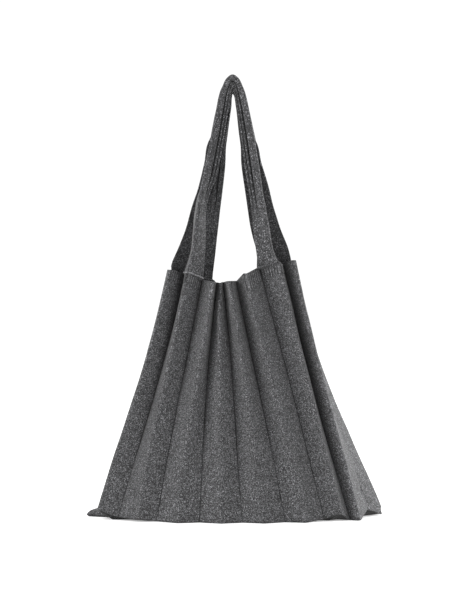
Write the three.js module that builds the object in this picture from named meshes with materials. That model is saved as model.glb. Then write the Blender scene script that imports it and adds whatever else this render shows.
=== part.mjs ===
// A knitted accordion-pleat shoulder bag, hanging from the top of its two straps with its base just touching
// the floor. Seven pleats run down the front and seven down the back, closed at the rim and open at the hem.
// Between them each side has one gusset fold that points inwards. A ribbed welt finishes the rim, each strap
// carries on the outer pleat of its panel, and a flat knitted panel closes the bottom.
// Millimetres. +Z is up, the front faces -Y, and the origin is the inside of the strap loop's top.
import * as THREE from "three";

// Body
const RIM_WIDTH = 190; // across the front corners at the rim
const HEM_WIDTH = 400; // across the front corners at the hem
const RIM_LOW = 352; // floor to the lowest point of the rim
const RIM_RISE = 33; // how much higher the rim's highest corner stands
const GUSSET_DEPTH = 66; // from the front corner fold to the back one
const RIM_BULGE = 12; // how far the middle of the rim stands proud of its corners
const HEM_BULGE = 42; // the same at the hem
const RIM_PLEAT = 26; // ridge to crease, where the pleats are closed
const HEM_PLEAT = 11; // ridge to crease, where the pleats lie open
const WALL = 2.2; // knit of the two panels
const CREASE_RADIUS = 1.6; // centre of the wall, at a crease
const RIM_RIDGE_RADIUS = 2.4; // centre of the wall, at a ridge
const HEM_RIDGE_RADIUS = 4;
const HEM_LIFT = 11; // how far the loosest corner of the hem stands off the floor
const EAR_REACH = 18; // how far the left back corner pokes out at the floor
const EAR_HEIGHT = 16;
const WELT_HEIGHT = 25; // ribbed edge, at the middle of the rim
const BASE_THICKNESS = 2.4;
const SEAM_GAP = 0.3; // between pieces that are sewn to each other

// Straps
const STRAP_WIDTH = 47; // laid flat
const STRAP_WALL = 2.6;
const STRAP_RIDGE_RADIUS = 2.1; // centre of the wall, where the strap is folded along its length
const STRAP_TOP = 662; // floor to the top of the front strap
const BACK_STRAP_DROP = 5; // how much lower the back strap lies over the hook
const LOOP_DEPTH = 27; // from the top of the front strap down to the inside of the loop

const FRONT = -1;
const BACK = 1;

// Where the folds of a panel lie, left to right. rim, upper, lower and hem are places across the bag, as shares
// of its half width there. push moves a fold outwards at the rim, as a share of RIM_PLEAT. rise is the rim's
// height there, as a share of RIM_RISE. lift is the hem's, as a share of HEM_LIFT. welt is the height of the
// ribbed edge there, as a share of WELT_HEIGHT, and ear the reach of a corner, as a share of EAR_REACH.
const FRONT_FOLDS = [
  { ridge: true, rim: -1.0, upper: -0.987, lower: -0.989, hem: -0.99, rise: 0.57, lift: 0.8, welt: 0.55 },
  { ridge: false, rim: -0.753, upper: -0.756, lower: -0.806, hem: -0.843, rise: 0.41, lift: 0.45, welt: 0.55 },
  { ridge: true, rim: -0.7, upper: -0.703, lower: -0.717, hem: -0.696, rise: 0.4, lift: 0.4, welt: 0.55 },
  { ridge: false, rim: -0.475, upper: -0.518, lower: -0.551, hem: -0.556, rise: 0.13, lift: 0.1, welt: 0.7 },
  { ridge: true, rim: -0.31, upper: -0.363, lower: -0.408, hem: -0.402, rise: 0.04, welt: 1 },
  { ridge: false, rim: -0.253, upper: -0.272, lower: -0.261, hem: -0.244, rise: 0, welt: 1 },
  { ridge: true, rim: -0.196, upper: -0.154, lower: -0.111, hem: -0.082, push: -0.35, rise: -0.02, welt: 1 },
  { ridge: false, rim: -0.137, upper: -0.025, lower: 0.032, hem: 0.073, rise: 0.02, welt: 1 },
  { ridge: true, rim: -0.055, upper: 0.097, lower: 0.176, hem: 0.231, rise: 0.06, welt: 1 },
  { ridge: false, rim: 0.055, upper: 0.214, lower: 0.325, hem: 0.385, rise: 0.07, welt: 1 },
  { ridge: true, rim: 0.2, upper: 0.357, lower: 0.482, hem: 0.532, rise: 0.4, welt: 1 },
  { ridge: false, rim: 0.416, upper: 0.543, lower: 0.626, hem: 0.672, rise: 0.69, lift: 0.3, welt: 0.7 },
  { ridge: true, rim: 0.723, upper: 0.752, lower: 0.779, hem: 0.795, rise: 0.82, lift: 1, welt: 0.55 },
  { ridge: false, rim: 0.79, upper: 0.8, lower: 0.828, hem: 0.87, rise: 0.83, welt: 0.55 },
  { ridge: true, rim: 0.974, upper: 0.97, lower: 0.951, hem: 0.94, rise: 1, welt: 0.55 },
];
const BACK_FOLDS = [
  { ridge: true, rim: -0.99, upper: -0.985, lower: -0.98, hem: -1.0, rise: 0.57, welt: 0.55, ear: -1 },
  { ridge: false, rim: -0.83, upper: -0.82, lower: -0.83, hem: -0.86, push: 0.75, rise: 0.5, welt: 0.55 },
  { ridge: true, rim: -0.67, upper: -0.66, lower: -0.69, hem: -0.72, push: -0.5, rise: 0.45, welt: 0.55 },
  { ridge: false, rim: -0.31, upper: -0.44, lower: -0.53, hem: -0.57, push: -0.1, rise: 0.13, welt: 0.7 },
  { ridge: true, rim: -0.25, upper: -0.34, lower: -0.39, hem: -0.42, rise: 0, welt: 1 },
  { ridge: false, rim: -0.18, upper: -0.22, lower: -0.26, hem: -0.28, rise: -0.05, welt: 1 },
  { ridge: true, rim: -0.1, upper: -0.11, lower: -0.12, hem: -0.14, rise: -0.06, welt: 1 },
  { ridge: false, rim: -0.02, upper: 0, lower: 0.01, hem: 0.01, rise: -0.05, welt: 1 },
  { ridge: true, rim: 0.06, upper: 0.11, lower: 0.15, hem: 0.16, rise: -0.03, welt: 1 },
  { ridge: false, rim: 0.14, upper: 0.23, lower: 0.29, hem: 0.31, rise: 0, welt: 1 },
  { ridge: true, rim: 0.23, upper: 0.35, lower: 0.42, hem: 0.46, rise: 0.2, welt: 1 },
  { ridge: false, rim: 0.37, upper: 0.48, lower: 0.57, hem: 0.62, push: -0.1, rise: 0.5, welt: 0.7 },
  { ridge: true, rim: 0.65, upper: 0.67, lower: 0.75, hem: 0.79, push: -0.5, rise: 0.8, welt: 0.55 },
  { ridge: false, rim: 0.81, upper: 0.83, lower: 0.89, hem: 0.96, push: 0.75, rise: 0.9, welt: 0.55 },
  { ridge: true, rim: 0.965, upper: 0.985, lower: 1.062, hem: 1.13, rise: 1, welt: 0.55 },
];
const LEFT_GUSSET = { rim: -0.89, upper: -0.89, lower: -0.9, hem: -0.94, rise: 0.55, welt: 0.55 };
const RIGHT_GUSSET = { rim: 0.86, upper: 0.875, lower: 0.965, hem: 1.005, rise: 0.97, lift: 0.5, welt: 0.55 };
const FRONT_SEATS = { left: { outside: 1, ridge: 2, inside: 3 }, right: { outside: 13, ridge: 12, inside: 11 } };
const BACK_SEATS = { left: { outside: 0, ridge: 2, inside: 3 }, right: { outside: 14, ridge: 12, inside: 11 } };
const FOLD_LEVELS = [0, 0.35, 0.7, 1]; // heights of hem, lower, upper and rim, as shares of the fold's own height

// The two legs of each strap, from just above the rim (height 0) to the strap's top (height 1). across is the
// ridge's distance from the middle and out its distance in front of or behind it, as shares of what they are at
// the rim. The strap is folded along its ridge: near is the direction of the half that starts nearer the viewer
// and far that of the other, in degrees from the inside of the loop, and wide is their width, as a share of half
// the strap.
const FRONT_STRAP = {
  left: [
    { height: 0.116, across: 0.938, out: 0.93, near: 38, far: 88, wide: 1.08 },
    { height: 0.217, across: 0.872, out: 0.86, near: 43, far: 88, wide: 1 },
    { height: 0.317, across: 0.794, out: 0.79, near: 50, far: 90, wide: 1 },
    { height: 0.416, across: 0.683, out: 0.71, near: 48, far: 80, wide: 1 },
    { height: 0.541, across: 0.592, out: 0.62, near: 34, far: 56, wide: 0.9 },
    { height: 0.742, across: 0.415, out: 0.46, near: 26, far: 44, wide: 0.78 },
    { height: 0.892, across: 0.292, out: 0.34, near: 16, far: 44, wide: 0.62 },
    { height: 0.946, across: 0.19, out: 0.3, near: -20, far: 60, wide: 0.36 },
  ],
  right: [
    { height: 0.073, across: 0.92, out: 0.94, near: 24, far: 60, wide: 1.08 },
    { height: 0.179, across: 0.84, out: 0.87, near: 6, far: 58, wide: 1.04 },
    { height: 0.283, across: 0.764, out: 0.8, near: 16, far: 58, wide: 1 },
    { height: 0.388, across: 0.656, out: 0.72, near: 28, far: 58, wide: 1 },
    { height: 0.519, across: 0.571, out: 0.62, near: 18, far: 48, wide: 0.96 },
    { height: 0.729, across: 0.412, out: 0.46, near: 24, far: 44, wide: 0.78 },
    { height: 0.887, across: 0.279, out: 0.34, near: 16, far: 44, wide: 0.6 },
    { height: 0.943, across: 0.182, out: 0.3, near: -20, far: 60, wide: 0.36 },
  ],
  top: { height: 1, across: 0, out: 0.27, near: -44, far: 60, wide: 0.44 },
};
const BACK_STRAP = {
  left: [
    { height: 0.12, across: 0.844, out: 0.98, near: -172, far: -8, wide: 1.18 },
    { height: 0.224, across: 0.73, out: 0.95, near: -168, far: -12, wide: 1.03 },
    { height: 0.329, across: 0.636, out: 0.9, near: -156, far: -24, wide: 1 },
    { height: 0.434, across: 0.53, out: 0.87, near: -142, far: -36, wide: 1 },
    { height: 0.564, across: 0.5, out: 0.82, near: -115, far: -25, wide: 1.0 },
    { height: 0.669, across: 0.508, out: 0.75, near: -98, far: -12, wide: 1.02 },
    { height: 0.774, across: 0.442, out: 0.66, near: -62, far: 8, wide: 1.0 },
    { height: 0.878, across: 0.341, out: 0.56, near: -24, far: 18, wide: 0.94 },
    { height: 0.955, across: 0.232, out: 0.5, near: -40, far: 44, wide: 0.66 },
  ],
  right: [
    { height: 0.083, across: 0.987, out: 0.98, near: -174, far: -6, wide: 1.12 },
    { height: 0.192, across: 0.826, out: 0.95, near: -172, far: -8, wide: 1.02 },
    { height: 0.301, across: 0.7, out: 0.9, near: -150, far: -30, wide: 1 },
    { height: 0.41, across: 0.607, out: 0.87, near: -140, far: -38, wide: 1 },
    { height: 0.546, across: 0.55, out: 0.82, near: -112, far: -30, wide: 1.0 },
    { height: 0.655, across: 0.556, out: 0.75, near: -92, far: -12, wide: 0.98 },
    { height: 0.764, across: 0.466, out: 0.66, near: -56, far: 8, wide: 0.9 },
    { height: 0.873, across: 0.36, out: 0.56, near: -24, far: 18, wide: 0.8 },
    { height: 0.955, across: 0.247, out: 0.5, near: -40, far: 44, wide: 0.66 },
  ],
  top: { height: 1, across: 0, out: 0.45, near: -54, far: 54, wide: 0.8 },
};

// Fineness of the meshes
const FOLD_STEPS = 3; // chords round each fold
const PANEL_ROWS = [0, 0.008, 0.025, 0.06, 0.14, 0.26, 0.4, 0.55, 0.7, 0.85, 1];
const STRAP_STEPS = 2; // stations between two rows of a strap's table
const STRAP_HALF_STEPS = 2; // chords across each half of a strap

const degrees = Math.PI / 180;
const origin = new THREE.Vector3(0, 0, STRAP_TOP - LOOP_DEPTH);

const lerp = THREE.MathUtils.lerp;

// The cubic that passes through four values given at FOLD_LEVELS.
function throughLevels(values, t) {
  return values.reduce((sum, value, i) => {
    const weight = FOLD_LEVELS.reduce(
      (product, level, j) => (i === j ? product : (product * (t - level)) / (FOLD_LEVELS[i] - level)),
      1,
    );
    return sum + value * weight;
  }, 0);
}

// The closed loop of folds, counterclockwise from above and starting at the left gusset.
const loop = [
  { ...LEFT_GUSSET, ridge: false, side: 0 },
  ...FRONT_FOLDS.map((fold) => ({ ...fold, side: FRONT })),
  { ...RIGHT_GUSSET, ridge: false, side: 0 },
  ...[...BACK_FOLDS].reverse().map((fold) => ({ ...fold, side: BACK })),
];
const RIGHT_GUSSET_PLACE = FRONT_FOLDS.length + 1;

const rimHeight = (fold) => RIM_LOW + RIM_RISE * fold.rise;
const hemHeight = (fold) => HEM_LIFT * (fold.lift ?? 0);
const weltFoot = (fold) => 1 - (WELT_HEIGHT * fold.welt) / (rimHeight(fold) - hemHeight(fold));

// Where a fold passes through the share t of its own height.
function foldPoint(fold, t) {
  const share = throughLevels([fold.hem, fold.lower, fold.upper, fold.rim], t);
  const height = lerp(hemHeight(fold), rimHeight(fold), t);
  const ear = Math.max(0, 1 - height / EAR_HEIGHT) ** 2 * EAR_REACH * (fold.ear ?? 0);
  const x = share * lerp(HEM_WIDTH, RIM_WIDTH, t) / 2 + ear;
  const bulge = lerp(HEM_BULGE, RIM_BULGE, t) * Math.max(0, 1 - Math.abs(share) ** 2.2);
  const pleat = lerp(HEM_PLEAT, RIM_PLEAT, t ** 0.6);
  const back = fold.ridge ? 0 : pleat;
  const out = GUSSET_DEPTH / 2 + bulge - back + (fold.push ?? 0) * RIM_PLEAT * t ** 2;
  return { x, y: fold.side * out, z: height };
}

// The radius of the wall's centre round a fold.
function foldRadius(fold, t) {
  return fold.ridge ? lerp(HEM_RIDGE_RADIUS, RIM_RIDGE_RADIUS, Math.sqrt(t)) : CREASE_RADIUS;
}

// The wall in plan, as it winds round a circle at each fold, with straight knit between them. at(fold) is the
// share of the fold's height. Gives, for each fold, its points with the direction that faces out of the bag.
function windRound(at) {
  const circles = loop.map((fold, i) => {
    const before = loop.at(i - 1);
    const after = loop[(i + 1) % loop.length];
    const here = foldPoint(fold, at(fold));
    const from = foldPoint(before, at(before));
    const to = foldPoint(after, at(after));
    const along = Math.atan2(to.y - from.y, to.x - from.x);
    const radius = foldRadius(fold, at(fold));
    const inwards = fold.ridge ? radius : -radius; // a crease winds round a circle outside the bag
    return {
      x: here.x - Math.sin(along) * inwards,
      y: here.y + Math.cos(along) * inwards,
      z: here.z,
      radius,
      turn: fold.ridge ? 1 : -1,
    };
  });
  const headings = circles.map((circle, i) => {
    const next = circles[(i + 1) % circles.length];
    const length = Math.hypot(next.x - circle.x, next.y - circle.y);
    const heading = Math.atan2(next.y - circle.y, next.x - circle.x);
    const slant = circle.turn === next.turn ? 0 : Math.asin((circle.radius + next.radius) / length);
    return heading + circle.turn * slant;
  });
  return circles.map((circle, i) => {
    const start = headings.at(i - 1);
    const turned = THREE.MathUtils.euclideanModulo(circle.turn * (headings[i] - start), 2 * Math.PI);
    const sweep = circle.turn * (turned > 1.5 * Math.PI ? turned - 2 * Math.PI : turned);
    return Array.from({ length: FOLD_STEPS + 1 }, (_, k) => {
      const heading = start + (sweep * k) / FOLD_STEPS;
      const outwards = { x: Math.sin(heading), y: -Math.cos(heading) };
      return {
        x: circle.x + circle.turn * circle.radius * outwards.x,
        y: circle.y + circle.turn * circle.radius * outwards.y,
        z: circle.z,
        outwards,
      };
    });
  });
}

// A wall from rows of matching outer and inner points, closed along all four edges.
function wallGeometry(rows) {
  const columns = rows[0].length;
  const positions = [];
  for (const face of ["outer", "inner"]) {
    for (const row of rows) {
      for (const point of row) positions.push(point[face].x, point[face].y, point[face].z);
    }
  }
  const outer = (row, column) => row * columns + column;
  const inner = (row, column) => rows.length * columns + row * columns + column;
  const faces = [];
  const quad = (a, b, c, d) => faces.push(a, b, c, a, c, d);
  for (let row = 0; row + 1 < rows.length; row++) {
    for (let column = 0; column + 1 < columns; column++) {
      quad(outer(row, column), outer(row, column + 1), outer(row + 1, column + 1), outer(row + 1, column));
      quad(inner(row, column + 1), inner(row, column), inner(row + 1, column), inner(row + 1, column + 1));
    }
    quad(inner(row, 0), outer(row, 0), outer(row + 1, 0), inner(row + 1, 0));
    const last = columns - 1;
    quad(outer(row, last), inner(row, last), inner(row + 1, last), outer(row + 1, last));
  }
  const top = rows.length - 1;
  for (let column = 0; column + 1 < columns; column++) {
    quad(inner(0, column), inner(0, column + 1), outer(0, column + 1), outer(0, column));
    quad(outer(top, column), outer(top, column + 1), inner(top, column + 1), inner(top, column));
  }
  const geometry = new THREE.BufferGeometry();
  geometry.setAttribute("position", new THREE.Float32BufferAttribute(positions, 3));
  geometry.setIndex(faces);
  geometry.computeVertexNormals();
  return geometry;
}

// The stretch of the wall that one side takes, from gusset to gusset, at one row.
function wallRow(side, at, drop = 0) {
  const winding = windRound(at);
  const middle = (FOLD_STEPS + 1) / 2;
  const [first, last] = side === FRONT ? [0, RIGHT_GUSSET_PLACE] : [RIGHT_GUSSET_PLACE, loop.length];
  const folds = winding.slice(first, last + 1);
  if (side === BACK) folds.push(winding[0]);
  const points = folds.flatMap((points, i) => {
    if (i === 0) return points.slice(middle);
    return i === last - first ? points.slice(0, middle) : points;
  });
  return points.map(({ x, y, z, outwards }) => ({
    outer: new THREE.Vector3(x + (outwards.x * WALL) / 2, y + (outwards.y * WALL) / 2, z - drop),
    inner: new THREE.Vector3(x - (outwards.x * WALL) / 2, y - (outwards.y * WALL) / 2, z - drop),
  }));
}

function panelGeometry(side) {
  const rows = PANEL_ROWS.map((share) =>
    wallRow(side, (fold) => share * weltFoot(fold), share === 1 ? SEAM_GAP : 0),
  );
  return wallGeometry(rows);
}

function weltGeometry(side) {
  const rows = [0, 0.5, 1].map((share) => wallRow(side, (fold) => lerp(weltFoot(fold), 1, share)));
  return wallGeometry(rows);
}

// The flat panel that closes the bottom, inside the walls, which lean inwards as they rise.
function baseGeometry() {
  const inset = WALL / 2 + 1.5 * SEAM_GAP;
  const edge = windRound(() => BASE_THICKNESS / RIM_LOW).flat();
  const outlines = [0, BASE_THICKNESS].map((height) =>
    edge.map(({ x, y, outwards }) => [x - outwards.x * inset, y - outwards.y * inset, height]),
  );
  const count = outlines[0].length;
  const faces = [];
  for (let i = 0; i < count; i++) {
    const j = (i + 1) % count;
    faces.push(i, j, j + count, i, j + count, i + count);
  }
  const outline = outlines[0].map(([x, y]) => new THREE.Vector2(x, y));
  for (const [a, b, c] of THREE.ShapeUtils.triangulateShape(outline, [])) {
    faces.push(a, c, b, count + a, count + b, count + c);
  }
  const geometry = new THREE.BufferGeometry();
  geometry.setAttribute("position", new THREE.Float32BufferAttribute(outlines.flat(2), 3));
  geometry.setIndex(faces);
  geometry.computeVertexNormals();
  return geometry;
}

// One end of a strap: the ridge that it sits on, and the folds where its two halves end.
function strapSeat(folds, side, end, places) {
  const towardsMiddle = end === "left" ? 1 : -1;
  const [ridge, outside, inside] = [places.ridge, places.outside, places.inside].map((place) =>
    foldPoint({ ...folds[place], side }, 1),
  );
  const half = (edge) => ({
    angle: Math.atan2(edge.y - ridge.y, (edge.x - ridge.x) * towardsMiddle) / degrees,
    width: Math.hypot(edge.x - ridge.x, edge.y - ridge.y),
    rise: edge.z - ridge.z,
  });
  const [near, far] = side === FRONT ? [half(inside), half(outside)] : [half(outside), half(inside)];
  if (near.angle > 90) near.angle -= 360; // the near half turns by way of the front, never through the back
  return { ridge, near, far };
}

// The stations of one strap, from its left seat over the top to its right seat.
function strapStations(folds, side, seats, strap, top) {
  const leg = (end) => {
    const { ridge, near, far } = strapSeat(folds, side, end, seats[end]);
    const foot = ridge.z + 2 * SEAM_GAP;
    const seated = {
      x: ridge.x,
      y: ridge.y,
      z: foot,
      near: near.angle,
      far: far.angle,
      nearWidth: near.width,
      farWidth: far.width,
      nearRise: near.rise,
      farRise: far.rise,
    };
    const loose = [...strap[end], strap.top].map((row) => ({
      x: ridge.x * row.across,
      y: ridge.y * row.out,
      z: lerp(foot, top, row.height),
      near: row.near,
      far: row.far,
      nearWidth: (STRAP_WIDTH / 2) * row.wide,
      farWidth: (STRAP_WIDTH / 2) * row.wide,
      nearRise: 0,
      farRise: 0,
    }));
    return [seated, ...loose];
  };
  return [...leg("left"), ...leg("right").reverse().slice(1)];
}

// A value part of the way between two stations, on a smooth curve through the ones beside them.
function between(stations, i, share, key) {
  const last = stations.length - 1;
  const [a, b, c, d] = [i - 1, i, i + 1, i + 2].map((k) => stations[THREE.MathUtils.clamp(k, 0, last)][key]);
  const bend = 2 * b - 2 * c + (c - a) / 2 + (d - b) / 2;
  const lean = 3 * (c - b) - (c - a) - (d - b) / 2;
  return ((bend * share + lean) * share + (c - a) / 2) * share + b;
}

function strapGeometry(folds, side, seats, strap, top) {
  const coarse = strapStations(folds, side, seats, strap, top);
  const keys = Object.keys(coarse[0]);
  const stations = [];
  for (let i = 0; i + 1 < coarse.length; i++) {
    for (let k = 0; k < STRAP_STEPS; k++) {
      stations.push(Object.fromEntries(keys.map((key) => [key, between(coarse, i, k / STRAP_STEPS, key)])));
    }
  }
  stations.push(coarse.at(-1));
  const rows = stations.map((station, i) => {
    const before = stations[Math.max(i - 1, 0)];
    const after = stations[Math.min(i + 1, stations.length - 1)];
    const seated = i === 0 || i === stations.length - 1;
    const rise = after.z - before.z;
    const climb = seated ? (Math.sign(rise) * Math.PI) / 2 : Math.atan2(rise, after.x - before.x);
    const inwards = { x: Math.sin(climb), z: -Math.cos(climb) };
    return strapRow(station, inwards);
  });
  return wallGeometry(rows);
}

// The folded strap across its width, from the edge of its far half round the ridge to that of its near half.
function strapRow(station, inwards) {
  const near = station.near * degrees;
  const far = station.far * degrees;
  const middle = (near + far) / 2;
  const centre = { n: STRAP_RIDGE_RADIUS * Math.cos(middle), y: STRAP_RIDGE_RADIUS * Math.sin(middle) };
  const points = [];
  const add = (facing, along, distance, rise) => {
    const normal = { n: Math.cos(facing), y: Math.sin(facing) };
    points.push({
      n: centre.n + normal.n * STRAP_RIDGE_RADIUS + Math.cos(along) * distance,
      y: centre.y + normal.y * STRAP_RIDGE_RADIUS + Math.sin(along) * distance,
      normal,
      rise,
    });
  };
  const straight = (width) => width - STRAP_RIDGE_RADIUS;
  for (let k = STRAP_HALF_STEPS; k > 0; k--) {
    const share = k / STRAP_HALF_STEPS;
    add(far + Math.PI / 2, far, share * straight(station.farWidth), share * station.farRise);
  }
  for (let k = 0; k <= FOLD_STEPS; k++) {
    add(lerp(far + Math.PI / 2, near + 1.5 * Math.PI, k / FOLD_STEPS), 0, 0, 0);
  }
  for (let k = 1; k <= STRAP_HALF_STEPS; k++) {
    const share = k / STRAP_HALF_STEPS;
    add(near - Math.PI / 2, near, share * straight(station.nearWidth), share * station.nearRise);
  }
  const place = ({ n, y, normal, rise }, offset) =>
    new THREE.Vector3(
      station.x + inwards.x * (n + normal.n * offset),
      station.y + y + normal.y * offset,
      station.z + inwards.z * (n + normal.n * offset) + rise,
    );
  return points.map((point) => ({
    outer: place(point, STRAP_WALL / 2),
    inner: place(point, -STRAP_WALL / 2),
  }));
}

const knit = new THREE.MeshStandardMaterial({ color: 0x4c4c4f, roughness: 0.9, metalness: 0.05 });
const ribbedKnit = new THREE.MeshStandardMaterial({ color: 0x515154, roughness: 0.92, metalness: 0.05 });
const baseKnit = new THREE.MeshStandardMaterial({ color: 0x454548, roughness: 0.95, metalness: 0.05 });

const bag = new THREE.Group();

function addPiece(name, geometry, material) {
  const piece = new THREE.Mesh(geometry, material);
  piece.name = name;
  piece.position.copy(origin).negate();
  bag.add(piece);
}

addPiece("front_panel", panelGeometry(FRONT), knit);
addPiece("back_panel", panelGeometry(BACK), knit);
addPiece("front_welt", weltGeometry(FRONT), ribbedKnit);
addPiece("back_welt", weltGeometry(BACK), ribbedKnit);
addPiece("base_panel", baseGeometry(), baseKnit);
addPiece("front_strap", strapGeometry(FRONT_FOLDS, FRONT, FRONT_SEATS, FRONT_STRAP, STRAP_TOP), knit);
const backTop = STRAP_TOP - BACK_STRAP_DROP;
addPiece("back_strap", strapGeometry(BACK_FOLDS, BACK, BACK_SEATS, BACK_STRAP, backTop), knit);

export default bag;
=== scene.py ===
import math

import bmesh
import bpy
import numpy as np
from mathutils import Euler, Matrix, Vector, noise


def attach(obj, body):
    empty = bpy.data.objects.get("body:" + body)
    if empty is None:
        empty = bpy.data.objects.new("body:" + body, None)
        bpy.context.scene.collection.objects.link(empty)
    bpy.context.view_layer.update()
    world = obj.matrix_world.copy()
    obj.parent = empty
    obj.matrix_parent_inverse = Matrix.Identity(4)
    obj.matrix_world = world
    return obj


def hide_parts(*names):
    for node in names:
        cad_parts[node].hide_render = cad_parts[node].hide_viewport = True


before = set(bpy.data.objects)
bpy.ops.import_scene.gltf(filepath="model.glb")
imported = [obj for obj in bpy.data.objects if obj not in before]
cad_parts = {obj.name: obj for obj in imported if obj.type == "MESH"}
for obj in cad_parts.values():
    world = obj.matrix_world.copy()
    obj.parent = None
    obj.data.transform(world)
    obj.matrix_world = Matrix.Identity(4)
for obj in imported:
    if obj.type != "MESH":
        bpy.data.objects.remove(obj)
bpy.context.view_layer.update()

# A knitted accordion-pleat shoulder bag in charcoal melange with a glitter yarn. Its shapes are worked out
# in millimetres with the floor at height 0, and placed in the frame, whose origin is the inside of the strap
# loop.
STRAP_TOP = 662
LOOP_DEPTH = 27
HANG_HEIGHT = STRAP_TOP - LOOP_DEPTH

RIM_WIDTH = 190
HEM_WIDTH = 400
RIM_LOW = 352
RIM_RISE = 33
GUSSET_DEPTH = 66
RIM_BULGE = 12
HEM_BULGE = 42
RIM_PLEAT = 26
HEM_PLEAT = 11
WALL = 2.2
CREASE_RADIUS = 1.6
RIM_RIDGE_RADIUS = 2.4
HEM_RIDGE_RADIUS = 4
HEM_LIFT = 11
EAR_REACH = 20
EAR_HEIGHT = 11
WELT_HEIGHT = 25
BASE_THICKNESS = 2.4
BASE_INSET = 1.5  # from the wall's middle to the edge of the base
BASE_EDGE_LIFT = 0.2  # of that edge above the hem
BASE_FLAT = (0.9, 0.78)  # shares of the base's width and depth that lie flat on the floor
WANDER = 0.9  # how far hand-pressed pleats stray from their line

STRAP_WIDTH = 47
STRAP_WALL = 2.6
STRAP_RIDGE_RADIUS = 2.1
GROOVE_DEPTH = 7.5  # of the lengthwise dents where the strap's facing half buckles towards the top
GROOVE_FROM = 445  # height where those dents begin
GROOVE_RUN = 55  # and how far they take to reach their depth
BACK_STRAP_DROP = 5

KNIT_PANEL = 32  # real width of the knit between two folds
FOLD_SPREAD = 2.4  # how much of that width goes round a fold
RIDGE_KNIT = 3  # how much of a strap's knit goes round each side of its ridge
HALF_KNIT = 20  # and how much of it is left in each half
SEAM_TUCK = 2.5  # how far a strap goes down inside the welt
SEAM_LINE = (0.4, 1, 1.9, 2.5)  # heights above the rim that the seam round a strap's end runs through
SEAM_RELIEF = 0.5  # how far that seam stands out
SEAM_WALL = 1
JOIN_HEIGHT = 568  # of the join across the front strap's right leg
JOIN_CHORDS = 8  # how many chords of the strap's facing half that join shows on
JOIN_LINE = (0, 0.4, 1, 1.4)  # how far below its height that join runs
JOIN_RELIEF = 0.4
JOIN_WALL = 0.8
RIB_PITCH = 4.4  # from rib to rib on the welt
WALE_PITCH = 1.7  # from one column of stitches to the next
COURSE_PITCH = 1.9  # from one row of stitches to the next
FLECK_SIZE = 1.0  # of the glitter thread's flecks
PAINTED_SHADE_REACH = 12  # how near another wall has to be for a hollow to get painted shade
CREASE_SHADE_LINE = (0.8, 2.0)  # the half width of the painted shade line along a crease, and where its fading ends
STITCH_RELIEF = 0.5  # how far the stitches stand out

FRONT, BACK = -1, 1

# The folds of a panel from left to right. rim, upper, lower and hem are places across the bag, as shares of
# its half width there. The rest are shares too: push of RIM_PLEAT, rise of RIM_RISE, lift of HEM_LIFT, welt
# of WELT_HEIGHT and ear of EAR_REACH.
FOLD_COLUMNS = ("ridge", "rim", "upper", "lower", "hem", "push", "rise", "lift", "welt", "ear")
FRONT_FOLDS = [
    (True, -1.0, -0.96, -0.98, -1.0, 0, 0.57, 1.3, 0.55, 0),
    (False, -0.753, -0.756, -0.806, -0.843, 0, 0.41, 0.45, 0.55, 0),
    (True, -0.7, -0.703, -0.717, -0.696, 0, 0.4, 0.4, 0.55, 0),
    (False, -0.475, -0.518, -0.551, -0.556, 0, 0.13, 0.1, 0.7, 0),
    (True, -0.31, -0.363, -0.408, -0.402, 0, 0.04, 0, 1, 0),
    (False, -0.253, -0.272, -0.261, -0.244, 0, 0, 0, 1, 0),
    (True, -0.196, -0.154, -0.111, -0.082, -0.35, -0.02, 0, 1, 0),
    (False, -0.137, -0.025, 0.032, 0.073, 0, 0.02, 0, 1, 0),
    (True, -0.055, 0.097, 0.176, 0.231, 0, 0.06, 0, 1, 0),
    (False, 0.055, 0.214, 0.325, 0.385, 0, 0.07, 0, 1, 0),
    (True, 0.2, 0.357, 0.482, 0.532, 0, 0.4, 0, 1, 0),
    (False, 0.416, 0.543, 0.626, 0.672, 0, 0.69, 0.3, 0.7, 0),
    (True, 0.723, 0.752, 0.779, 0.795, 0, 0.82, 1, 0.55, 0),
    (False, 0.79, 0.8, 0.828, 0.87, 0, 0.83, 0, 0.55, 0),
    (True, 0.974, 0.94, 0.94, 0.94, 0, 1, 0, 0.55, 0),
]
BACK_FOLDS = [
    (True, -0.99, -0.96, -0.97, -1.0, 0, 0.57, 0, 0.55, -1),
    (False, -0.83, -0.82, -0.83, -0.86, 0.75, 0.5, 0, 0.55, 0),
    (True, -0.67, -0.66, -0.69, -0.72, -0.5, 0.45, 0, 0.55, 0),
    (False, -0.31, -0.44, -0.53, -0.57, -0.1, 0.13, 0, 0.7, 0),
    (True, -0.25, -0.34, -0.39, -0.42, 0, 0, 0, 1, 0),
    (False, -0.18, -0.22, -0.26, -0.28, 0, -0.05, 0, 1, 0),
    (True, -0.1, -0.11, -0.12, -0.14, 0, -0.06, 0, 1, 0),
    (False, -0.02, 0, 0.01, 0.01, 0, -0.05, 0, 1, 0),
    (True, 0.06, 0.11, 0.15, 0.16, 0, -0.03, 0, 1, 0),
    (False, 0.14, 0.23, 0.29, 0.31, 0, 0, 0, 1, 0),
    (True, 0.23, 0.35, 0.42, 0.46, 0, 0.2, 0, 1, 0),
    (False, 0.37, 0.48, 0.57, 0.62, -0.1, 0.5, 0, 0.7, 0),
    (True, 0.65, 0.67, 0.75, 0.79, -0.5, 0.8, 0, 0.55, 0),
    (False, 0.81, 0.83, 0.89, 0.96, 0.75, 0.9, 0, 0.55, 0),
    (True, 0.965, 0.95, 1.045, 1.145, 0, 1, 0.15, 0.55, -0.16),
]
LEFT_GUSSET = (False, -0.89, -0.865, -0.89, -0.94, 0, 0.55, 0, 0.55, 0)
RIGHT_GUSSET = (False, 0.86, 0.85, 0.95, 1.01, 0, 0.97, 1.1, 0.55, 0)
FOLD_LEVELS = (0, 0.35, 0.7, 1)
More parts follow.
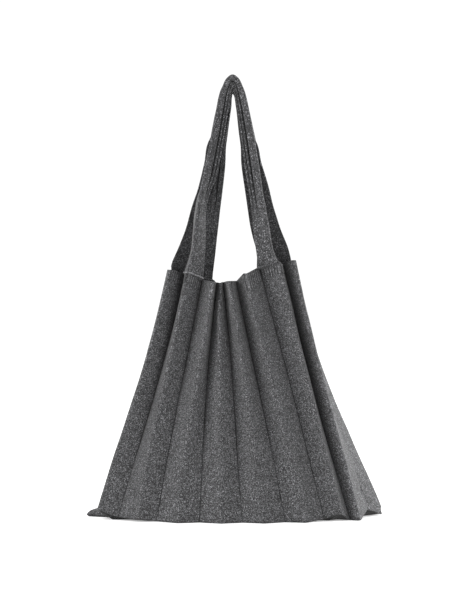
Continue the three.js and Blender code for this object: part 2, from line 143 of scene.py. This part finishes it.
# The folds at each strap's outside edge, ridge and inside edge.
FRONT_SEATS = {"left": (1, 2, 3), "right": (13, 12, 11)}
BACK_SEATS = {"left": (0, 2, 3), "right": (14, 12, 11)}

# The two legs of each strap, from just above the rim (height 0) to the strap's top (height 1). across is
# the ridge's distance from the middle and out its distance in front of or behind it, as shares of what they
# are at the rim. near and far are the directions of the strap's two halves, in degrees from the inside of
# the loop, and wide is their width as a share of half the strap.
STRAP_COLUMNS = ("height", "across", "out", "near", "far", "wide")
FRONT_STRAP = {
    "left": [
        (0.116, 0.88, 0.93, 50, 94, 1.08),
        (0.217, 0.82, 0.86, 56, 96, 1),
        (0.317, 0.764, 0.79, 68, 98, 1),
        (0.416, 0.695, 0.71, 64, 92, 1),
        (0.541, 0.592, 0.62, 34, 56, 0.9),
        (0.742, 0.415, 0.46, 26, 44, 0.78),
        (0.892, 0.292, 0.34, 16, 40, 0.68),
        (0.946, 0.203, 0.3, 2, 34, 0.56),
        (0.98, 0.128, 0.285, -4, 30, 0.58),
    ],
    "right": [
        (0.073, 0.862, 0.94, 12, 72, 1.06),
        (0.179, 0.778, 0.87, 24, 74, 1.02),
        (0.283, 0.702, 0.8, 38, 76, 1),
        (0.388, 0.62, 0.72, 46, 76, 1),
        (0.519, 0.55, 0.62, 34, 60, 0.94),
        (0.729, 0.412, 0.46, 24, 44, 0.78),
        (0.887, 0.279, 0.34, 16, 40, 0.66),
        (0.943, 0.2, 0.3, 2, 34, 0.56),
        (0.98, 0.124, 0.285, -4, 30, 0.58),
    ],
    "top": (1, 0, 0.27, -8, 26, 0.83),
}
BACK_STRAP = {
    "left": [
        (0.035, 0.95, 0.995, -176, -6, 1.46),
        (0.12, 0.844, 0.98, -172, -8, 1.3),
        (0.224, 0.73, 0.95, -168, -12, 1.13),
        (0.329, 0.636, 0.9, -156, -24, 1.06),
        (0.434, 0.53, 0.87, -142, -36, 1),
        (0.564, 0.5, 0.82, -115, -25, 1.0),
        (0.669, 0.508, 0.75, -98, -12, 1.02),
        (0.774, 0.442, 0.66, -62, 8, 1.0),
        (0.878, 0.341, 0.56, -24, 18, 0.94),
        (0.955, 0.232, 0.5, -16, 18, 0.78),
    ],
    "right": [
        (0.083, 0.987, 0.98, -174, -6, 1.12),
        (0.192, 0.826, 0.95, -172, -8, 1.02),
        (0.301, 0.7, 0.9, -150, -30, 1),
        (0.41, 0.607, 0.87, -140, -38, 1),
        (0.546, 0.55, 0.82, -112, -30, 1.0),
        (0.655, 0.556, 0.75, -92, -12, 0.98),
        (0.764, 0.466, 0.66, -56, 8, 0.9),
        (0.873, 0.36, 0.56, -24, 18, 0.8),
        (0.955, 0.247, 0.5, -16, 18, 0.74),
    ],
    "top": (1, 0, 0.45, -18, 20, 0.94),
}

FOLD_CHORDS = 7
FLAT_CHORDS = 5
PANEL_ROWS = 84
STRAP_STEPS = 8
STRAP_HALF_CHORDS = 20


def named(columns, rows, **more):
    return [{**dict(zip(columns, row)), **more} for row in rows]


LOOP = (
    named(FOLD_COLUMNS, [LEFT_GUSSET], side=0)
    + named(FOLD_COLUMNS, FRONT_FOLDS, side=FRONT)
    + named(FOLD_COLUMNS, [RIGHT_GUSSET], side=0)
    + named(FOLD_COLUMNS, BACK_FOLDS[::-1], side=BACK)
)
RIGHT_GUSSET_PLACE = len(FRONT_FOLDS) + 1


def lerp(a, b, share):
    return a + (b - a) * share


def through_levels(values, t):
    """The cubic that passes through four values given at FOLD_LEVELS."""
    total = 0
    for i, value in enumerate(values):
        weight = 1
        for j, level in enumerate(FOLD_LEVELS):
            if i != j:
                weight *= (t - level) / (FOLD_LEVELS[i] - level)
        total += value * weight
    return total


def rim_height(fold):
    return RIM_LOW + RIM_RISE * fold["rise"]


def hem_height(fold):
    return HEM_LIFT * fold["lift"]


def welt_foot(fold):
    return 1 - WELT_HEIGHT * fold["welt"] / (rim_height(fold) - hem_height(fold))


def fold_point(fold, t):
    """Where a fold passes through the share t of its own height."""
    share = through_levels([fold["hem"], fold["lower"], fold["upper"], fold["rim"]], t)
    height = lerp(hem_height(fold), rim_height(fold), t)
    corner = math.sqrt(max(0, 1 - (height / EAR_HEIGHT) ** 3)) * (1 - 0.3 * max(0, 1 - height / 4) ** 2)
    ear = corner * EAR_REACH * fold["ear"]
    x = share * lerp(HEM_WIDTH, RIM_WIDTH, t) / 2 + ear
    bulge = lerp(HEM_BULGE, RIM_BULGE, t) * max(0, 1 - abs(share) ** 2.2)
    back = 0 if fold["ridge"] else lerp(HEM_PLEAT, RIM_PLEAT, t**0.6)
    out = GUSSET_DEPTH / 2 + bulge - back + fold["push"] * RIM_PLEAT * t**2 - abs(ear)
    return np.array([x, fold["side"] * out, height])


def fold_radius(fold, t):
    return lerp(HEM_RIDGE_RADIUS, RIM_RIDGE_RADIUS, math.sqrt(t)) if fold["ridge"] else CREASE_RADIUS


def wind_round(at):
    """The wall in plan as it winds round each fold: each fold's points, facings and places along the knit."""
    count = len(LOOP)
    apexes = [fold_point(fold, at(fold)) for fold in LOOP]
    circles = []
    for i, fold in enumerate(LOOP):
        along = apexes[(i + 1) % count] - apexes[i - 1]
        heading = math.atan2(along[1], along[0])
        radius = fold_radius(fold, at(fold))
        turn = 1 if fold["ridge"] else -1
        centre = apexes[i] + turn * radius * np.array([-math.sin(heading), math.cos(heading), 0])
        circles.append((centre, radius, turn))
    headings = []
    for i, (centre, radius, turn) in enumerate(circles):
        after, after_radius, after_turn = circles[(i + 1) % count]
        step = after - centre
        slant = 0 if turn == after_turn else math.asin((radius + after_radius) / math.hypot(step[0], step[1]))
        headings.append(math.atan2(step[1], step[0]) + turn * slant)
    arcs = []
    for i, (centre, radius, turn) in enumerate(circles):
        turned = (turn * (headings[i] - headings[i - 1])) % (2 * math.pi)
        sweep = turn * (turned - 2 * math.pi if turned > 1.5 * math.pi else turned)
        arc = []
        for k in range(FOLD_CHORDS + 1):
            heading = headings[i - 1] + sweep * k / FOLD_CHORDS
            facing = np.array([math.sin(heading), -math.cos(heading), 0])
            spread = FOLD_SPREAD * (k / FOLD_CHORDS - 0.5)
            arc.append((centre + turn * radius * facing, facing, i * KNIT_PANEL + spread))
        arcs.append(arc)
    folds = []
    for i, arc in enumerate(arcs):
        start, facing, place = arc[-1]
        end, end_facing, end_place = arcs[(i + 1) % count][0]
        if i == count - 1:
            end_place += count * KNIT_PANEL
        shares = [k / FLAT_CHORDS for k in range(1, FLAT_CHORDS)]
        flat = [(lerp(start, end, s), lerp(facing, end_facing, s), lerp(place, end_place, s)) for s in shares]
        folds.append((arc, flat))
    return folds


def side_of_loop(side, at):
    """The stretch of the wall that one side takes, from gusset to gusset, at one row."""
    folds = wind_round(at)
    middle = (FOLD_CHORDS + 1) // 2
    first, last = (0, RIGHT_GUSSET_PLACE) if side == FRONT else (RIGHT_GUSSET_PLACE, len(LOOP))
    points = list(folds[first][0][middle:]) + list(folds[first][1])
    for arc, flat in folds[first + 1 : last]:
        points += list(arc) + list(flat)
    closing = folds[last % len(LOOP)][0][:middle]
    if last == len(LOOP):
        closing = [(point, facing, place + len(LOOP) * KNIT_PANEL) for point, facing, place in closing]
    return points + list(closing)


def frame_place(points):
    """Millimetres above the floor to metres in the frame."""
    return (np.asarray(points, dtype=float) - np.array([0, 0, HANG_HEIGHT])) / 1000


def deselect_all():
    bpy.ops.object.select_all(action="DESELECT")


def make_active(piece):
    deselect_all()
    piece.select_set(True)
    bpy.context.view_layer.objects.active = piece


def add_and_apply(piece, kind, **settings):
    make_active(piece)
    modifier = piece.modifiers.new(kind.title(), kind)
    for key, value in settings.items():
        setattr(modifier, key, value)
    bpy.ops.object.modifier_apply(modifier=modifier.name)


def turn_outwards(piece):
    mesh = bmesh.new()
    mesh.from_mesh(piece.data)
    if mesh.calc_volume(signed=True) < 0:
        bmesh.ops.reverse_faces(mesh, faces=mesh.faces)
    mesh.to_mesh(piece.data)
    mesh.free()


def knitted_sheet(name, rows, places, thickness, rounding=0):
    """A sheet of knit: a grid whose points go to rows, thickened to a closed wall. places holds each point's
    place along and up the knit, in millimetres, for the stitches."""
    rows = np.asarray(rows)
    height, width = rows.shape[:2]
    deselect_all()
    bpy.ops.mesh.primitive_grid_add(x_subdivisions=width - 1, y_subdivisions=height - 1, calc_uvs=True)
    piece = bpy.context.active_object
    piece.name = name
    piece.data.name = name
    piece.data.vertices.foreach_set("co", frame_place(rows.reshape(-1, 3)).ravel())
    corners = np.empty(len(piece.data.loops), dtype=np.int32)
    piece.data.loops.foreach_get("vertex_index", corners)
    flat = np.asarray(places, dtype=float).reshape(-1, 2) / 1000
    piece.data.uv_layers[0].data.foreach_set("uv", flat[corners].ravel())
    piece.data.uv_layers[0].name = "knit"
    piece.data.update()
    for surface in ("outside", "inside"):
        piece.data.materials.append(None)
    wall = {"thickness": thickness / 1000, "offset": 0, "material_offset": 1, "material_offset_rim": 0}
    add_and_apply(piece, "SOLIDIFY", **wall)
    if rounding:
        add_and_apply(piece, "SUBSURF", levels=rounding, render_levels=rounding)
    turn_outwards(piece)
    make_active(piece)
    bpy.ops.object.shade_smooth()
    return piece


def ripple(place, height, seed):
    """How far hand-pressed pleats wander, from -1 to 1, over a few centimetres."""
    return noise.noise(Vector((place / 24, height / 60, seed)))


def panel(name, side):
    rows, places = [], []
    for row in range(PANEL_ROWS + 1):
        share = (row / PANEL_ROWS) ** 1.25  # closer together at the hem
        line = side_of_loop(side, lambda fold: share * welt_foot(fold))
        points, marks = [], []
        for point, facing, place in line:
            free = min(1, (point[2] + 4) / 30) * min(1, (1 - share) * 8)  # held at the hem and under the welt
            points.append(point + facing * WANDER * free * ripple(place, point[2], side))
            marks.append((place, point[2]))
        rows.append(points)
        places.append(marks)
    return knitted_sheet(name, rows, places, WALL)


def welt(name, side):
    rows, places = [], []
    for share in np.linspace(0, 1, 13):
        line = side_of_loop(side, lambda fold: lerp(welt_foot(fold), 1, share))
        rows.append([point for point, facing, place in line])
        places.append([(place, point[2]) for point, facing, place in line])
    return knitted_sheet(name, rows, places, WALL + 0.1)


def base(name):
    """The bottom: flat on the floor, with its edge raised to the hem where the hem lifts off."""
    edge = []
    for arc, flat in wind_round(lambda fold: 0):
        edge += [point - facing * BASE_INSET for point, facing, place in arc + flat]
    mesh = bmesh.new()
    outer = [mesh.verts.new(frame_place([x, y, z + BASE_EDGE_LIFT])) for x, y, z in edge]
    wide, deep = BASE_FLAT
    inner = [mesh.verts.new(frame_place([wide * x, deep * y, 0])) for x, y, z in edge]
    faces = [mesh.faces.new(inner)]
    for i in range(len(edge)):
        k = (i + 1) % len(edge)
        faces.append(mesh.faces.new([outer[i], outer[k], inner[k], inner[i]]))
    grown = bmesh.ops.extrude_face_region(mesh, geom=faces)
    for vertex in grown["geom"]:
        if isinstance(vertex, bmesh.types.BMVert):
            vertex.co.z += BASE_THICKNESS / 1000
    bmesh.ops.triangulate(mesh, faces=mesh.faces[:])
    bmesh.ops.recalc_face_normals(mesh, faces=mesh.faces[:])
    data = bpy.data.meshes.new(name)
    mesh.to_mesh(data)
    mesh.free()
    piece = bpy.data.objects.new(name, data)
    bpy.context.scene.collection.objects.link(piece)
    turn_outwards(piece)
    return piece


def strap_seat(folds, side, end, places):
    """One end of a strap: the ridge that it sits on, and where its two halves end."""
    inwards = 1 if end == "left" else -1
    folds = named(FOLD_COLUMNS, folds, side=side)
    outside, ridge, inside = [fold_point(folds[place], 1) for place in places]

    def half(edge):
        dx, dy, dz = edge - ridge
        return [math.degrees(math.atan2(dy, dx * inwards)), math.hypot(dx, dy), dz]

    near, far = (half(inside), half(outside)) if side == FRONT else (half(outside), half(inside))
    if near[0] > 90:
        near[0] -= 360  # the near half turns by way of the front, never through the back
    return ridge, near, far


def strap_stations(folds, side, seats, strap, top):
    """Stations from the left seat over the top to the right seat: x, y, z, both angles, widths and rises."""

    def leg(end):
        ridge, near, far = strap_seat(folds, side, end, seats[end])
        foot = ridge[2] - SEAM_TUCK
        stations = [np.array([ridge[0], ridge[1], foot, near[0], far[0], near[1], far[1], near[2], far[2]])]
        for row in named(STRAP_COLUMNS, strap[end] + [strap["top"]]):
            width = STRAP_WIDTH / 2 * row["wide"]
            stations.append(np.array([
                ridge[0] * row["across"], ridge[1] * row["out"], lerp(foot, top, row["height"]),
                row["near"], row["far"], width, width, 0, 0,
            ]))
        return stations

    return leg("left") + leg("right")[::-1][1:]


def smooth_between(stations, i, share):
    last = len(stations) - 1
    a, b, c, d = [stations[min(max(k, 0), last)] for k in (i - 1, i, i + 1, i + 2)]
    start, end = (c - a) / 2, (d - b) / 2
    bend = 2 * b - 2 * c + start + end
    lean = 3 * (c - b) - 2 * start - end
    return ((bend * share + lean) * share + start) * share + b


def groove(share):
    """How deep the facing half of a strap buckles inwards, at a share of its width from the ridge."""
    outer = math.exp(-(((share - 0.5) / 0.1) ** 2))
    inner = 0.75 * math.exp(-(((share - 0.8) / 0.075) ** 2))
    return outer + inner - 0.12 * math.sin(share * math.pi)


def strap_line(station, inwards, dents):
    """The folded strap across its width, from its far half's edge round the ridge to its near half's: each
    point, its facing and its place across the knit. dents is how deeply the far and near half are grooved."""
    x, y, z, near, far, near_width, far_width, near_rise, far_rise = station
    near, far = math.radians(near), math.radians(far)
    middle = (near + far) / 2
    centre = STRAP_RIDGE_RADIUS * np.array([math.cos(middle), math.sin(middle)])
    line = []

    def add(facing, along, distance, rise, mark, dent=0):
        n, across = centre + (STRAP_RIDGE_RADIUS - dent) * np.array([math.cos(facing), math.sin(facing)])
        n += math.cos(along) * distance
        across += math.sin(along) * distance
        normal = np.array([inwards[0] * math.cos(facing), math.sin(facing), inwards[1] * math.cos(facing)])
        line.append((np.array([x + inwards[0] * n, y + across, z + inwards[1] * n + rise]), normal, mark))

    for k in range(STRAP_HALF_CHORDS, 0, -1):
        share = k / STRAP_HALF_CHORDS
        dent = dents[0] * groove(share)
        reach = share * (far_width - STRAP_RIDGE_RADIUS)
        add(far + math.pi / 2, far, reach, share * far_rise, -RIDGE_KNIT - share * HALF_KNIT, dent)
    for k in range(FOLD_CHORDS + 1):
        share = k / FOLD_CHORDS
        facing = lerp(far + math.pi / 2, near + 1.5 * math.pi, share)
        add(facing, 0, 0, 0, lerp(-RIDGE_KNIT, RIDGE_KNIT, share))
    for k in range(1, STRAP_HALF_CHORDS + 1):
        share = k / STRAP_HALF_CHORDS
        dent = dents[1] * groove(share)
        reach = share * (near_width - STRAP_RIDGE_RADIUS)
        add(near - math.pi / 2, near, reach, share * near_rise, RIDGE_KNIT + share * HALF_KNIT, dent)
    return line


def strap_lines(folds, side, seats, strap, top):
    """A strap's cross lines from its left end over the top to its right end, with their places along it."""
    coarse = strap_stations(folds, side, seats, strap, top)
    stations = [
        smooth_between(coarse, i, k / STRAP_STEPS) for i in range(len(coarse) - 1) for k in range(STRAP_STEPS)
    ]
    stations.append(coarse[-1])
    summit = max(range(len(stations)), key=lambda i: stations[i][2])
    lines, length = [], 0
    for i, station in enumerate(stations):
        before, after = stations[max(i - 1, 0)], stations[min(i + 1, len(stations) - 1)]
        rise, run = after[2] - before[2], after[0] - before[0]
        loose = min(1, i / STRAP_STEPS, (len(stations) - 1 - i) / STRAP_STEPS)
        climb = lerp(math.copysign(math.pi / 2, rise), math.atan2(rise, run), loose)
        depth = GROOVE_DEPTH * min(1, max(0, (station[2] - GROOVE_FROM) / GROOVE_RUN))
        dents = (0, depth) if side == FRONT else (depth, 0)
        line = strap_line(station, (math.sin(climb), -math.cos(climb)), dents)
        clear = STRAP_WALL * 0.55 * min(1, abs(i - summit) / 3)
        for point, normal, mark in line:  # the two legs press against each other under the hook
            if i < summit:
                point[0] = min(point[0], -clear)
            elif i > summit:
                point[0] = max(point[0], clear)
        lines.append((line, length))
        length += float(np.linalg.norm(after[:3] - station[:3]))
    return lines


def strap_piece(name, lines):
    rows = [[point for point, normal, mark in line] for line, length in lines]
    places = [[(mark, length) for point, normal, mark in line] for line, length in lines]
    return knitted_sheet(name, rows, places, STRAP_WALL, rounding=1)


def strap_seam(name, lines, end):
    """The stitched seam between one end of a strap and the rim: a narrow raised line round the strap."""
    foot, above = (lines[0][0], lines[2][0]) if end == "left" else (lines[-1][0], lines[-3][0])
    step = above[STRAP_HALF_CHORDS][0][2] - foot[STRAP_HALF_CHORDS][0][2]
    rows, places = [], []
    for height in SEAM_LINE:
        share = (SEAM_TUCK + height) / step
        rows.append([
            lerp(low[0], high[0], share) + lerp(low[1], high[1], share) * (STRAP_WALL / 2 + SEAM_RELIEF)
            for low, high in zip(foot, above)
        ])
        places.append([(low[2], height) for low in foot])
    return knitted_sheet(name, rows, places, SEAM_WALL, rounding=1)


def strap_join(name, lines):
    """The short raised line where a strap's band was joined, on the facing half of its right leg."""
    right = lines[len(lines) // 2 :]
    heights = [line[STRAP_HALF_CHORDS][0][2] for line, length in right[:-1]]
    place = min(range(len(heights)), key=lambda i: abs(heights[i] - JOIN_HEIGHT))
    (upper, start), (lower, end) = right[place], right[place + 1]
    first = STRAP_HALF_CHORDS + FOLD_CHORDS + 1
    upper, lower = upper[first : first + JOIN_CHORDS], lower[first : first + JOIN_CHORDS]
    rows, places = [], []
    for drop in JOIN_LINE:
        share = drop / (end - start)
        rows.append([
            lerp(high[0], low[0], share) + high[1] * (STRAP_WALL / 2 + JOIN_RELIEF)
            for high, low in zip(upper, lower)
        ])
        places.append([(high[2], drop) for high in upper])
    return knitted_sheet(name, rows, places, JOIN_WALL, rounding=1)


# Materials


def linear(code):
    """An sRGB hex colour as linear RGBA."""
    channels = [int(code[i : i + 2], 16) / 255 for i in (1, 3, 5)]
    return (*[c / 12.92 if c <= 0.04045 else ((c + 0.055) / 1.055) ** 2.4 for c in channels], 1)


def node(tree, kind, settings=None, inputs=None, links=None):
    """Adds a node with its settings, its own input values, and links into it from other nodes' outputs."""
    new = tree.nodes.new(kind)
    for key, value in (settings or {}).items():
        setattr(new, key, value)
    for key, value in (inputs or {}).items():
        new.inputs[key].default_value = value
    for key, (source, output) in (links or {}).items():
        tree.links.new(source.outputs[output], new.inputs[key])
    return new


def melange_knit(name, dark, middle, light, glitter=0.1, glint_colour="#88888b", rib_pitch=0.0, painted_crease_shade=False,
                 darkest_painted_shade=0.25):
    """Melange yarn knitted with a fine glitter thread: matt, slightly mottled, with small bright flecks.
    Stitches and flecks are drawn about as large as a pixel of the photograph. The thread lies on the outside
    of the knit, so the inside's flecks are dim. Painted shade darkens a line down each pleat's valley crease,
    and any hollow that little light reaches, down to a given darkest tone."""
    material = bpy.data.materials.new(name)
    material.use_nodes = True
    tree = material.node_tree
    shader = tree.nodes["Principled BSDF"]
    object_place = node(tree, "ShaderNodeTexCoord")
    knit_place = node(tree, "ShaderNodeUVMap", {"uv_map": "knit"})
    split = node(tree, "ShaderNodeSeparateXYZ", links={"Vector": (knit_place, "UV")})

    # The yarn: dyed fibres mixed from dark to light, and here and there a fleck of glitter.
    mottle = node(tree, "ShaderNodeTexNoise", inputs={"Scale": 600, "Detail": 2, "Roughness": 0.7},
                  links={"Vector": (object_place, "Object")})
    flecks = node(tree, "ShaderNodeTexVoronoi", {"feature": "F1"}, {"Scale": 1000 / FLECK_SIZE},
                  {"Vector": (object_place, "Object")})
    fleck_chance = node(tree, "ShaderNodeSeparateColor", links={"Color": (flecks, "Color")})
    soft = node(tree, "ShaderNodeMath", {"operation": "MULTIPLY"}, {1: 0.5}, {0: (mottle, "Fac")})
    tone = node(tree, "ShaderNodeMath", {"operation": "MULTIPLY_ADD"}, {1: 0.5},
                {0: (fleck_chance, "Green"), 2: (soft, "Value")})
    yarn = node(tree, "ShaderNodeValToRGB", links={"Fac": (tone, "Value")})
    ramp = yarn.color_ramp
    ramp.elements[0].position, ramp.elements[0].color = 0.25, linear(dark)
    ramp.elements[1].position, ramp.elements[1].color = 0.78, linear(light)
    ramp.elements.new(0.5).color = linear(middle)
    fleck = node(tree, "ShaderNodeMath", {"operation": "GREATER_THAN"}, {1: 1 - glitter},
                 {0: (fleck_chance, "Red")})
    small = node(tree, "ShaderNodeMath", {"operation": "LESS_THAN"}, {1: 0.6}, {0: (flecks, "Distance")})
    glint = node(tree, "ShaderNodeMath", {"operation": "MULTIPLY"},
                 links={0: (fleck, "Value"), 1: (small, "Value")})
    colour = node(tree, "ShaderNodeMix", {"data_type": "RGBA"}, {"B": linear(glint_colour)},
                  {"Factor": (glint, "Value"), "A": (yarn, "Color")})
    # Painted shade: the colour darkens in hollows where another wall is near.
    hollow = node(tree, "ShaderNodeAmbientOcclusion", {"samples": 8, "only_local": False},
                  {"Distance": PAINTED_SHADE_REACH / 1000})
    painted_hollow_shade = node(tree, "ShaderNodeMapRange", links={"Value": (hollow, "AO")},
                inputs={"From Min": 0.25, "From Max": 0.8, "To Min": darkest_painted_shade, "To Max": 1.0})
    colour = node(tree, "ShaderNodeMix", {"data_type": "RGBA", "blend_type": "MULTIPLY"}, {"Factor": 1.0},
                  {"A": (colour, "Result"), "B": (painted_hollow_shade, "Result")})

    # The glitter thread is smooth and metallic, and the yarn's loose fibres give the rest a soft sheen.
    roughness = node(tree, "ShaderNodeMapRange", inputs={"To Min": 0.86, "To Max": 0.48},
                     links={"Value": (glint, "Value")})
    tree.links.new(roughness.outputs["Result"], shader.inputs["Roughness"])
    metal = node(tree, "ShaderNodeMath", {"operation": "MULTIPLY"}, {1: 0.7}, {0: (glint, "Value")})
    tree.links.new(metal.outputs["Value"], shader.inputs["Metallic"])
    shader.inputs["Sheen Weight"].default_value = 0.12
    shader.inputs["Sheen Roughness"].default_value = 0.5
    shader.inputs["Specular IOR Level"].default_value = 0.25

    def wave(output, pitch_mm):
        turns = node(tree, "ShaderNodeMath", {"operation": "MULTIPLY"}, {1: 2 * math.pi * 1000 / pitch_mm},
                     {0: (split, output)})
        return node(tree, "ShaderNodeMath", {"operation": "SINE"}, links={0: (turns, "Value")})

    wales, courses = wave("X", WALE_PITCH), wave("Y", COURSE_PITCH)
    stitches = node(tree, "ShaderNodeMath", {"operation": "MULTIPLY"},
                    links={0: (wales, "Value"), 1: (courses, "Value")})
    relief = node(tree, "ShaderNodeMath", {"operation": "MULTIPLY_ADD"}, {1: 0.35},
                  {0: (stitches, "Value"), 2: (mottle, "Fac")})
    if rib_pitch:
        ribs = wave("X", rib_pitch)
        relief = node(tree, "ShaderNodeMath", {"operation": "MULTIPLY_ADD"}, {1: 1.1},
                      {0: (ribs, "Value"), 2: (relief, "Value")})
        # Painted highlights on the rib tops and painted shade in the hollows between the ribs.
        shade = node(tree, "ShaderNodeMapRange", links={"Value": (ribs, "Value")},
                     inputs={"From Min": -1.0, "From Max": 0.6, "To Min": 0.3, "To Max": 1.3})
        colour = node(tree, "ShaderNodeMix", {"data_type": "RGBA", "blend_type": "MULTIPLY"}, {"Factor": 1.0},
                      {"A": (colour, "Result"), "B": (shade, "Result")})
    if painted_crease_shade:
        # Painted shade: a dark line along each valley crease, where the knit folds inwards.
        fold = node(tree, "ShaderNodeMath", {"operation": "PINGPONG"}, {1: KNIT_PANEL / 1000},
                    {0: (split, "X")})
        dark_to, faded_at = [distance / 1000 for distance in CREASE_SHADE_LINE]
        painted_crease_line = node(tree, "ShaderNodeMapRange", {"interpolation_type": "SMOOTHSTEP"},
                    {"From Min": dark_to, "From Max": faded_at, "To Min": 0.1, "To Max": 1.0},
                    {"Value": (fold, "Value")})
        colour = node(tree, "ShaderNodeMix", {"data_type": "RGBA", "blend_type": "MULTIPLY"}, {"Factor": 1.0},
                      {"A": (colour, "Result"), "B": (painted_crease_line, "Result")})
    tree.links.new(colour.outputs["Result"], shader.inputs["Base Color"])
    bump = node(tree, "ShaderNodeBump", inputs={"Strength": 0.45, "Distance": STITCH_RELIEF / 1000},
                links={"Height": (relief, "Value")})
    tree.links.new(bump.outputs["Normal"], shader.inputs["Normal"])
    return material


panel_knit = melange_knit(
    "melange_glitter_knit", "#1b1b1b", "#343435", "#616163", glitter=0.08, painted_crease_shade=True
)  # charcoal yarn with flecks, with painted shade along each valley crease: the pleated panels
rib_knit = melange_knit(
    "ribbed_melange_welt", "#1b1b1b", "#363637", "#646466", glitter=0.08, rib_pitch=RIB_PITCH, painted_crease_shade=True
)  # the same yarn with upright ribs, painted highlights on the ribs and painted shade between them, and painted shade along each valley crease: the rim
strap_knit = melange_knit(
    "melange_glitter_strap_knit", "#171717", "#2c2c2d", "#575759", glitter=0.08, darkest_painted_shade=0.04
)  # a denser knit, darkened by deep painted shade between its layers: the straps
base_knit = melange_knit(
    "melange_base_knit_painted_shade", "#101010", "#1b1b1c", "#2a2a2b", glitter=0.03
)  # plain, the same yarn darkened to nearly black as painted shade for the shadowed underside: the bottom
inside_knit_painted_shade = melange_knit(
    "melange_knit_inside_painted_shade", "#070707", "#171718", "#444446", glitter=0.1, glint_colour="#606062"
)  # the wrong side of the knit, darker and duller, and darkened further as painted shade: the inside of the bag and of the straps
seam_knit = melange_knit(
    "stitched_seam_yarn", "#3c3c3d", "#5e5e60", "#98989a", glitter=0.2
)  # pale, bright stitches: the lines where the straps are sewn on

# The pieces
PIECES = [
    (panel("front_panel_knit", FRONT), "front_panel", "panel_knit", panel_knit),
    (panel("back_panel_knit", BACK), "back_panel", "panel_knit", panel_knit),
    (welt("front_ribbed_welt", FRONT), "front_welt", "rib_knit", rib_knit),
    (welt("back_ribbed_welt", BACK), "back_welt", "rib_knit", rib_knit),
    (base("base_knit"), "base_panel", "base_knit", base_knit),
]
STRAPS = {
    "front": strap_lines(FRONT_FOLDS, FRONT, FRONT_SEATS, FRONT_STRAP, STRAP_TOP),
    "back": strap_lines(BACK_FOLDS, BACK, BACK_SEATS, BACK_STRAP, STRAP_TOP - BACK_STRAP_DROP),
}
for word, lines in STRAPS.items():
    PIECES.append((strap_piece(f"{word}_strap_knit", lines), f"{word}_strap", "strap_knit", strap_knit))
    for end in ("left", "right"):
        seam = strap_seam(f"{word}_{end}_strap_seam", lines, end)
        PIECES.append((seam, f"{word}_strap", "strap_knit", seam_knit))
PIECES.append((strap_join("front_strap_join", STRAPS["front"]), "front_strap", "strap_knit", seam_knit))
for piece, cad_node, material_slot, material in PIECES:
    while len(piece.data.materials) < 2:
        piece.data.materials.append(None)
    piece.data.materials[0] = material
    # The inside faces take the wrong-side knit, darkened further as painted shade.
    piece.data.materials[1] = inside_knit_painted_shade
    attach(piece, "root")
    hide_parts(cad_node)

# Floor, light and camera

# Matt white paper lit from below, so the bag's shadow on it is faint.
paper = bpy.data.materials.new("backlit_white_floor")
paper.use_nodes = True
shader = paper.node_tree.nodes["Principled BSDF"]
shader.inputs["Base Color"].default_value = linear("#f4f4f4")
shader.inputs["Roughness"].default_value = 0.9
shader.inputs["Emission Color"].default_value = (1, 1, 1, 1)
shader.inputs["Emission Strength"].default_value = 0.3

floor_level = -HANG_HEIGHT / 1000
deselect_all()
bpy.ops.mesh.primitive_plane_add(size=12, location=(0, 2.5, floor_level))
floor = bpy.context.active_object
floor.name = "floor"
floor.data.materials.append(paper)


def area_light(name, location, aim, size, power):
    light = bpy.data.lights.new(name, "AREA")
    light.shape = "RECTANGLE"
    light.size, light.size_y = size
    light.energy = power
    lamp = bpy.data.objects.new(name, light)
    lamp.location = location
    direction = Vector(aim) - Vector(location)
    lamp.rotation_euler = direction.to_track_quat("-Z", "Y").to_euler()
    bpy.context.scene.collection.objects.link(lamp)


MIDDLE = (0, 0, -0.4)
area_light("left_softbox", (-1.9, -0.9, 0.2), MIDDLE, (0.8, 1.4), 28)
area_light("right_softbox", (1.9, 0.6, 0.0), MIDDLE, (0.8, 1.4), 38)
area_light("front_card", (1.3, -1.9, 0.1), MIDDLE, (0.9, 0.9), 12)

# The cove lights the bag a little more than it shows to the camera, which sees it as white.
world = bpy.data.worlds.new("white_cove")
bpy.context.scene.world = world
world.use_nodes = True
tree = world.node_tree
seen = node(tree, "ShaderNodeLightPath")
cove = tree.nodes["Background"]
strength = node(tree, "ShaderNodeMapRange", inputs={"To Min": 1.14, "To Max": 1.05},
                links={"Value": (seen, "Is Camera Ray")})
cove.inputs["Color"].default_value = (1, 1, 1, 1)
tree.links.new(strength.outputs["Result"], cove.inputs["Strength"])
bpy.context.scene.view_settings.view_transform = "Standard"

FOCAL_PIXELS = 1733  # guessed focal length, in pixels of the photo
PHOTO_HEIGHT = 600
camera_data = bpy.data.cameras.new("camera")
camera_data.sensor_width = 36
camera_data.lens = camera_data.sensor_width * FOCAL_PIXELS / PHOTO_HEIGHT
camera = bpy.data.objects.new("camera", camera_data)
camera.location = (-0.01125, -2.6, 0.326 + floor_level)
camera.rotation_euler = Euler((math.radians(90), 0, 0))
bpy.context.scene.collection.objects.link(camera)
bpy.context.scene.camera = camera
